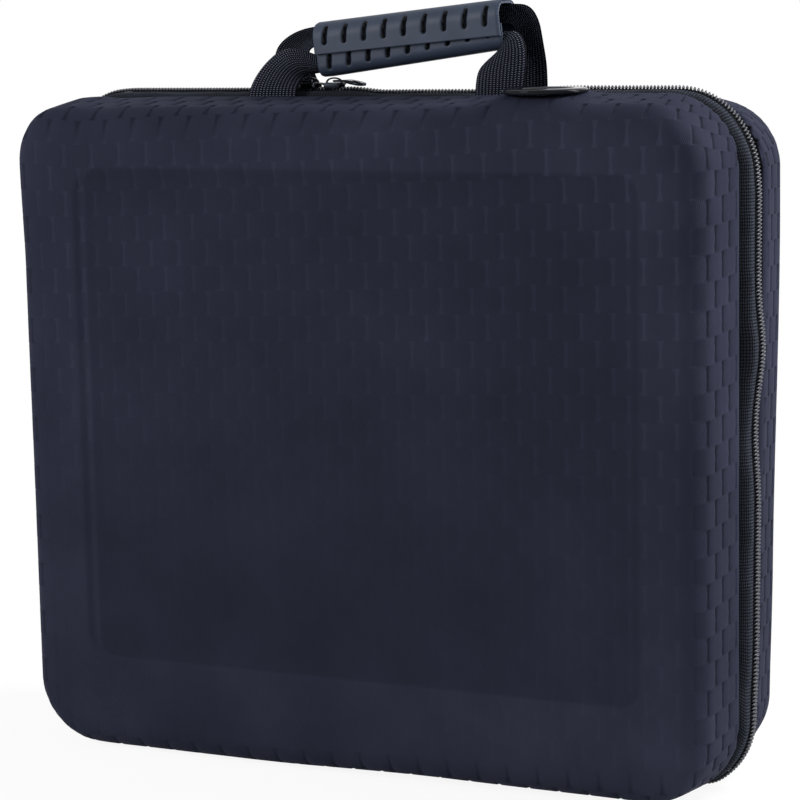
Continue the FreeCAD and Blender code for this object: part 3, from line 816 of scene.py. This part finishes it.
# Edges of each loop: outer x, z, inner x, z, distance from the middle plane, curl across the width
FRONT_LOOP = [
    (-75.6, 353, -46.8, 353, 15.4, 0), (-75.4, 361, -46.6, 361.5, 15.0, 0.4),
    (-72.4, 369, -46.4, 365, 12.6, 1.6), (-66.4, 377, -45.2, 368.3, 10.4, 3.0),
    (-57.5, 383.6, -42.5, 369.6, 9.0, 4.0), (-47, 382.6, -39.5, 369.8, 7.4, 4.0),
    (-38, 378.9, -36.5, 370.4, 6.0, 3.4), (-25, 380, -25, 372.3, 5.4, 2.4), (60, 388.6, 60, 381, 5.4, 2.4),
    (70.5, 390.6, 69.5, 382, 6.2, 3.2), (77.5, 391.6, 67, 379.2, 7.8, 4.0), (82.8, 385.5, 61, 376, 9.6, 3.4),
    (84.6, 376, 57.3, 371.5, 12, 2.0), (84.6, 366, 57, 365, 14.6, 0.6), (83.4, 353, 57, 353, 15.4, 0),
]
REAR_LOOP = [
    (-73, 353, -47, 353, 15.4, 0), (-73.5, 363, -47.5, 362, 15.0, 0.3), (-73.5, 373, -49, 369, 12.6, 1.2),
    (-71.5, 381.5, -51, 376, 10.0, 2.4), (-65, 388, -50, 381.5, 8.4, 3.4), (-54, 393, -46, 384, 7.2, 3.6),
    (-40, 395, -38.5, 384.8, 6.2, 3.2), (-25, 395.6, -25, 385.4, 5.6, 2.6), (60, 404.2, 60, 394, 5.6, 2.6),
    (70, 405.0, 69, 394.8, 6.0, 3.0), (79, 404.4, 70.5, 391.5, 7.2, 3.6), (83.6, 397, 68, 384, 9.0, 3.2),
    (84.6, 386, 63, 375, 11.4, 2.0), (85.6, 372, 58.5, 366, 14.2, 0.6), (85, 353, 57, 353, 15.4, 0),
]


def make_webbing():
    across = np.sin(np.linspace(-math.pi / 2, math.pi / 2, 17))
    for side, sign, loop in (("front", 1, FRONT_LOOP), ("rear", -1, REAR_LOOP)):
        rows, s = resampled(corner_cut(loop), 170)
        outer, inner = rows[:, None, 0:2], rows[:, None, 2:4]
        flat = (outer + inner) / 2 + across[None, :, None] * (inner - outer) / 2
        y = -sign * (rows[:, 4, None] + rows[:, 5, None] * (0.6 - across[None] ** 2))
        mid = points(flat[..., 0], y, flat[..., 1])
        grid, faces = band(mid, WEB_HALF_T * np.sqrt(np.clip(1 - across ** 6, 0, 1)))
        width = across * WEB_HALF_W
        add_piece(side + "_webbing", grid, turned(faces, sign < 0), side + "_half",
                  WEBBING, [side + "_handle_webbing"], flat_grid(s, np.r_[width, width[::-1]]))


def grip_section(half_y, end, meet, radius):
    """Outside of a channel grip, from one free edge over its closed end to the other, and the way inward."""
    top = end - radius
    straight = np.linspace(meet, top, 18)
    bend = np.linspace(math.pi, math.pi / 2, 18)
    front = [(-half_y, h) for h in straight[:-1]] + [
        (-half_y + radius + radius * math.cos(t), top + radius * math.sin(t)) for t in bend]
    lid = [(y, end) for y in np.linspace(-half_y + radius, half_y - radius, 12)[1:-1]]
    around = np.array(front + lid + [(-y, h) for y, h in reversed(front)])
    tangent = unit(np.gradient(around, axis=0))
    return around, np.stack([tangent[:, 1], -tangent[:, 0]], 1)


def slot_gap(along, h, low, high, up):
    """Distance to the edge of the nearest slot, below 0 inside it."""
    first = (GRIP_L - SLOT_STEPS * SLOT_PITCH) / 2
    along = along - SLOT_LEAN * (h - (low + high) / 2) * up
    shift = (along - first + SLOT_PITCH / 2) % SLOT_PITCH - SLOT_PITCH / 2
    inside = (along > first - SLOT_PAST) & (along < GRIP_L - first + SLOT_PAST)
    past = np.maximum(np.maximum(low + SLOT_END - h, h - high + SLOT_END), 0)
    return np.where(inside, np.hypot(shift, past) - SLOT_R, NO_SLOT)


def make_grip(name, body, half_y, end, meet, radius, slots, tuck=0.0, skirt=0.0, climb=0.0):
    """Slotted channel along the grip's axis, open towards meet.

    tuck tilts it; towards the right end, skirt brings its free edges down and climb carries its slots up.
    """
    up = 1 if end > meet else -1
    half, inward = grip_section(half_y, end * up, meet * up, radius)
    top, free = end * up - radius, meet * up
    rows = np.linspace(0, GRIP_L, 180)[:, None]
    low, high = sorted(v * up for v in slots)
    gap = slot_gap(rows, half[None, :, 1] + climb * rows, low, high, up)
    ends = ramp(0, END_ROUND, rows) * ramp(0, END_ROUND, GRIP_L - rows)
    sink = SLOT_SINK * (1 - ramp(*SLOT_EDGE, gap)) + END_SINK * (1 - ends)
    outer = half[None] + inward[None] * sink[..., None]
    inner = np.broadcast_to(half + inward * GRIP_WALL, outer.shape)
    ring = np.concatenate([outer, inner[:, ::-1]], 1)
    ring[..., 1] -= skirt * (rows / GRIP_L) * np.clip((top - ring[..., 1]) / (top - free), 0, 1)
    x, z = on_grip(rows, ring[..., 1] * up + rows * math.tan(tuck))
    grid = points(x, ring[..., 0], z)
    count = len(half)
    faces = grid_faces(len(rows), 2 * count, close_cols=True)
    to_slot = np.concatenate([gap, np.full(gap.shape, NO_SLOT)], 1).reshape(-1)
    # faces deep in a slot take the near-black dull finish: painted shade, together with the dark webbing
    # behind
    shaded_slot = to_slot[faces].max(1) < 0.05
    i = np.arange(count - 1)
    near = np.stack([i, i + 1, 2 * count - 2 - i, 2 * count - 1 - i], 1)
    far = near[:, ::-1] + (len(rows) - 1) * 2 * count
    shaded_slot = np.r_[shaded_slot, np.zeros(2 * len(near), dtype=bool)]
    faces = turned(np.vstack([faces, near, far]), up > 0)
    add_piece(name + "_rubber", grid, faces, body, [RUBBER, DULL], [name],
              np.c_[to_slot, to_slot], shaded_slot)


make_webbing()
make_grip("upper_grip", "rear_half", half_y=13.6, end=14.6, meet=-2.4, radius=9.0, slots=(1.8, 12.6),
          skirt=1.6)
make_grip("lower_grip", "front_half", half_y=11.2, end=-14.5, meet=-1.2, radius=6.0, slots=(-11.8, -3.2),
          tuck=LOWER_TILT, climb=0.04)


# Cap, sliders and pulls

def make_cap():
    # below these the dull finish takes over, under the rim and on the foot
    under_r, under_h = 20.7, 0.3
    dish = [(0, 2.1), (12.0, 2.1), (13.4, 2.15), (15.2, 3.1), (17.5, 3.25), (20.4, 3.1), (21.7, 2.4)]
    profile = soften(dish + [(22.0, 1.6), (21.7, 0.7), (20.6, 0.1), (14.5, 0.0), (14.5, -4.6)], 0.7)
    turn = np.linspace(0, 2 * math.pi, 121)[:-1]
    r, h = profile[:, 0], profile[:, 1]
    grid = points(r * np.cos(turn)[:, None] + CAP[0], r * np.sin(turn)[:, None] + CAP[1], h + CAP[2])
    faces = grid_faces(len(turn), len(profile), close_rows=True)
    under = (r[faces % len(profile)].max(1) < under_r) & (h[faces % len(profile)].max(1) < under_h)
    add_piece("cap_disc", grid, faces[:, ::-1], "front_half", [GLOSS, DULL],
              ["top_cap"], mat_index=under)


def slab(plan, low, high, bevel):
    """Plate over a plan polygon, with rounded corners and edges: vertices and faces."""
    pts = corner_cut(plan, 2, closed=True)
    middle = pts.mean(0)
    size = np.linalg.norm(pts - middle, axis=1).min()
    rings = []
    for inset, z in ((bevel, low), (0.3 * bevel, low + 0.3 * bevel), (0, low + bevel), (0, high - bevel),
                     (0.3 * bevel, high - 0.3 * bevel), (bevel, high)):
        ring = middle + (pts - middle) * (1 - inset / size)
        rings.append(np.c_[ring, np.full(len(ring), z)])
    count = len(pts)
    area = np.sum(pts[:, 0] * np.roll(pts[:, 1], -1) - pts[:, 1] * np.roll(pts[:, 0], -1))
    faces = [tuple(f) for f in grid_faces(len(rings), count, close_cols=True)]
    faces += [tuple(range(count))[::-1], tuple(range(5 * count, 6 * count))]
    if area < 0:
        faces = [f[::-1] for f in faces]
    return np.vstack(rings), faces


def tube(path, normal_r, side_r, closed=False, sides=12):
    """Bar of oval section along a path: vertices and faces."""
    path = np.array(path, dtype=float)
    ahead = unit(np.roll(path, -1, 0) - np.roll(path, 1, 0) if closed else np.gradient(path, axis=0))
    plane = np.linalg.svd(path - path.mean(0))[2][2]
    out = np.cross(ahead, plane)
    a = np.linspace(0, 2 * math.pi, sides + 1)[:-1]
    ring = (normal_r * np.cos(a)[None, :, None] * out[:, None] + side_r * np.sin(a)[None, :, None] * plane)
    verts = (path[:, None] + ring).reshape(-1, 3)
    faces = [tuple(f) for f in grid_faces(len(path), sides, close_rows=closed, close_cols=True)]
    if not closed:
        last = (len(path) - 1) * sides
        faces += [tuple(range(sides))[::-1], tuple(range(last, last + sides))]
    flip = np.dot(np.cross(out[0], plane), ahead[0]) < 0
    return verts, [f[::-1] for f in faces] if flip else faces


def merged(parts):
    """One mesh of several: vertices and faces."""
    verts, faces, base = [], [], 0
    for v, f in parts:
        verts.append(v)
        faces += [tuple(i + base for i in face) for face in f]
        base += len(v)
    return np.vstack(verts), faces


def mirrored(plan):
    """Closed plan from its half at y below 0, listed in order of x."""
    return plan + [(x, -y) for x, y in reversed(plan)]


def place_metal(name, parts, side, centre, height):
    """Piece of merged parts, mirrored in x where side is -1, and moved to its place."""
    verts, faces = merged(parts)
    verts = verts * np.array([side, 1, 1]) + np.array([centre, 0, height])
    if side < 0:
        faces = [f[::-1] for f in faces]
    node = name.rsplit("_", 1)[0]
    add_piece(name, verts, faces, node, METAL, [node])


def make_slider(name, centre, facing):
    """Slider: two shaped plates, side flanges, the post between the coils and the bowed bridge on top."""
    plan = mirrored([(-6, -2.6), (-5.2, -3.7), (0, -3.9), (4.6, -4.4), (6, -3.2)])
    parts = [slab(plan, *TOP_PLATE, 0.45), slab(plan, *LOW_PLATE, 0.4)]
    for y in (-1, 1):
        rail = [(-4.6, y * 3.2), (4.4, y * 3.75), (4.4, y * 4.35), (-4.6, y * 3.85)]
        parts.append(slab(rail, *RAIL_Z, 0.25))
    parts.append(slab(mirrored([(1.2, -0.25), (5.0, -0.25)]), *POST_Z, 0.05))
    t = np.linspace(0, math.pi, 25)
    bow = np.stack([-4.5 * np.cos(t), 0 * t, BRIDGE_Z + BRIDGE_RISE * np.sin(t) ** 0.8], 1)
    parts.append(tube(bow, 0.45, 1.0))
    place_metal(name + "_body", parts, facing, centre, 0)


def make_pull(name, centre, side, droop, swing=0.0):
    """Pull: a wire bail through the bridge and a tapered tab that droops and may swing to the front."""
    bail = corner_cut(mirrored([(-0.2, -2.2), (9.4, -2.2)]), closed=True)
    parts = [tube(np.c_[bail, np.zeros(len(bail))], 0.56, 0.56, closed=True)]
    tab = mirrored([(7.6, -2.5), (9.4, -3.6), (12.5, -4.0), (17.5, -3.8), (19.9, -2.4)])
    boss = mirrored([(11.6, -1.6), (17.2, -1.6)])
    hang, turn = math.radians(droop), math.radians(swing)
    for plan, half in ((tab, 0.8), (boss, 1.05)):
        v, f = slab(plan, -half, half, 0.35)
        out, across, up = v[:, 0] - TAB_HINGE, v[:, 1].copy(), v[:, 2].copy()
        ahead = out * math.cos(hang) + up * math.sin(hang)
        v[:, 0] = TAB_HINGE + ahead * math.cos(turn) + across * math.sin(turn)
        v[:, 1] = across * math.cos(turn) - ahead * math.sin(turn)
        v[:, 2] = up * math.cos(hang) - out * math.sin(hang)
        parts.append((v, f))
    place_metal(name + "_tab", parts, side, centre, PULL_Z)


make_cap()
make_slider("left_slider", SLIDER_X[0], facing=1)
make_slider("right_slider", SLIDER_X[1], facing=-1)
make_pull("left_pull", SLIDER_X[0], side=-1, droop=6)
make_pull("right_pull", SLIDER_X[1], side=1, droop=9, swing=18)


# Hinge strip and the fittings inside

def ribbon(rows, thick):
    """Band with rounded edges from rows of points: vertices, faces and flat coordinates."""
    edge = np.linspace(-1, 1, rows.shape[1])
    grid, faces = band(rows, thick / 2 * np.sqrt(np.clip(1 - edge ** 10, 0.02, 1)))
    s, t = lengths_along(rows[:, 0]), lengths_along(rows[0])
    return grid, faces, flat_grid(s, np.r_[t, t[::-1]])


def make_strip():
    half_l = ZIP_END - 1
    x = np.linspace(-half_l, half_l, 130)[:, None]
    y = np.linspace(STRIP_FRONT, LIP, 19)[None]
    z = STRIP_Z + STRIP_CROWN * (1 - (y / LIP) ** 2) + 0.1 * np.sin(x / 6 + y / 4)
    verts, faces, uv = ribbon(points(x, y, z), STRIP_T)
    strip = add_piece("hinge_cloth", verts, faces, "rear_half", STRIP, ["hinge_strip"], uv)


def make_straps():
    for name, middle, phase in (("lower_strap", 120.0, 0.4), ("upper_strap", 240.0, 2.1)):
        x = np.linspace(-STRAP_HALF, STRAP_HALF, 160)[:, None]
        w = np.linspace(-STRAP_W / 2, STRAP_W / 2, 13)[None]
        loose = ramp(0, 24, STRAP_HALF - np.abs(x))
        sag = loose * (1.3 + 0.5 * np.sin(x / 31 + phase))
        y = STRAP_Y - sag + 0.25 * np.sin(x / 9 + w / 6) * loose
        z = middle + w - 0.8 * loose * np.sin(x / 45 + phase)
        verts, faces, uv = ribbon(points(x, y, z), 1.4)
        strap = add_piece(name + "_elastic", verts, turned(faces, True), "rear_half", ELASTIC,
                          [name], uv)


def make_pocket():
    """Holed net sewn to the lining on three sides, with an elastic hem along its mouth."""
    left = [(-155, POCKET_Y), (-143, POCKET_Y), (-131, 49.6)]
    plan = soften(left + [(0, 48.9)] + [(-x, y) for x, y in reversed(left)], 6, 8)
    s = lengths_along(plan)
    cells_u, cells_v = NET_CELLS
    cell = np.array([0, NET_THREAD, 1 - NET_THREAD, 1.0])
    u = np.unique(np.concatenate([i + cell for i in range(cells_u)])) * s[-1] / cells_u
    v = np.unique(np.concatenate([i + cell for i in range(cells_v)])) * POCKET_H / cells_v
    x, y = (np.interp(u, s, plan[:, k])[None] for k in (0, 1))
    low = (1 - ramp(0, 16, v))[:, None]
    y = y + (POCKET_Y - y) * low
    verts = points(x, -y, POCKET_Z + v[:, None])
    faces = grid_faces(len(v), len(u))
    row, col = faces[:, 0] // len(u), faces[:, 0] % len(u)
    edge = np.minimum(row, len(v) - 2 - row) < 3
    faces = faces[(col % 3 != 1) | (row % 3 != 1) | edge]
    net = add_piece("pocket_net", verts, faces, "front_half", NET, ["lid_pocket"],
                    flat_grid(v, u)[:, ::-1])
    x = np.linspace(-HEM_HALF, HEM_HALF, 140)[:, None]
    w = np.linspace(0, HEM_W, 9)[None]
    y = HEM_Y - np.interp(np.abs(x), [0, 128, HEM_HALF], [0, 0.5, 5]) + 0.2 * np.sin(x / 1.3)
    verts, faces, uv = ribbon(points(x, y, HEM_Z + w), 1.3)
    hem = add_piece("pocket_hem_elastic", verts, faces, "front_half", ELASTIC, ["pocket_hem"], uv)


make_strip()
make_straps()
make_pocket()


# Stage

def make_camera():
    yaw, pitch, roll = (math.radians(v) for v in (YAW, PITCH, ROLL))
    forward = Vector((-math.sin(yaw) * math.cos(pitch), math.cos(yaw) * math.cos(pitch), -math.sin(pitch)))
    right = Vector((math.cos(yaw), math.sin(yaw), 0))
    down = forward.cross(right)
    c, s = math.cos(roll), math.sin(roll)
    data = bpy.data.cameras.new("camera")
    data.lens = FOCAL / PHOTO_SIDE * SENSOR
    data.shift_x = (PHOTO_SIDE / 2 - CENTRE[0]) / PHOTO_SIDE
    data.shift_y = (CENTRE[1] - PHOTO_SIDE / 2) / PHOTO_SIDE
    cam = bpy.data.objects.new("camera", data)
    place = Matrix((right * c + down * s, right * s - down * c, -forward)).transposed().to_4x4()
    place.translation = (Vector(TARGET) - forward * DIST) * MM
    cam.matrix_world = place
    bpy.context.scene.collection.objects.link(cam)
    bpy.context.scene.camera = cam


def add_light(name, at, aim, size, power):
    data = bpy.data.lights.new(name, "AREA")
    data.shape = "RECTANGLE"
    data.size, data.size_y = size
    data.energy = power
    lamp = bpy.data.objects.new(name, data)
    lamp.location = at
    lamp.visible_camera = False
    lamp.rotation_mode = "QUATERNION"
    lamp.rotation_quaternion = (Vector(aim) - Vector(at)).to_track_quat("-Z", "Y")
    bpy.context.scene.collection.objects.link(lamp)


def white_rays(tree):
    """1 for rays that should meet plain white: the camera's, and those off gloss or through clear matter."""
    path = add_node(tree, "ShaderNodeLightPath").outputs
    last = path["Is Camera Ray"]
    for ray in ("Is Glossy Ray", "Is Transmission Ray"):
        last = add_node(tree, "ShaderNodeMath", {0: last, 1: path[ray]}, operation="MAXIMUM").outputs[0]
    return last


def make_floor():
    """Pale floor that fades to plain white away from the bag."""
    floor = Finish("floor", (0.9, 0.9, 0.9), 0.9, specular_ior_level=0.05)
    white = floor.node("ShaderNodeEmission").outputs[0]
    away = floor.node("ShaderNodeVectorMath", {0: floor.coords()}, operation="LENGTH").outputs["Value"]
    fade = {"Value": away, "From Min": FLOOR_FADE[0], "From Max": FLOOR_FADE[1], "To Min": FLOOR_WHITE}
    far = floor.node("ShaderNodeMapRange", fade, interpolation_type="SMOOTHSTEP").outputs["Result"]
    share = floor.times(white_rays(floor.tree), far)
    mix = floor.node("ShaderNodeMixShader", {"Fac": share, 1: floor.bsdf.outputs[0], 2: white})
    floor.link(mix.outputs[0], floor.tree.nodes["Material Output"].inputs["Surface"])
    mesh = bpy.data.meshes.new("floor")
    h = FLOOR_HALF
    mesh.from_pydata([(-h, -h, 0), (h, -h, 0), (h, h, 0), (-h, h, 0)], [], [(0, 1, 2, 3)])
    mesh.materials.append(floor.mat)
    obj = bpy.data.objects.new("floor", mesh)
    bpy.context.scene.collection.objects.link(obj)


def make_stage():
    make_floor()
    world = bpy.data.worlds.new("studio")
    bpy.context.scene.world = world
    world.use_nodes = True
    tree = world.node_tree
    back = tree.nodes["Background"]
    back.inputs["Color"].default_value = (1, 1, 1, 1)
    level = add_node(tree, "ShaderNodeMapRange", {"Value": white_rays(tree), "To Min": FILL})
    tree.links.new(level.outputs["Result"], back.inputs["Strength"])
    for name, lamp in LAMPS.items():
        add_light(name, *lamp)


make_camera()
make_stage()
bpy.context.scene.view_settings.view_transform = "Standard"
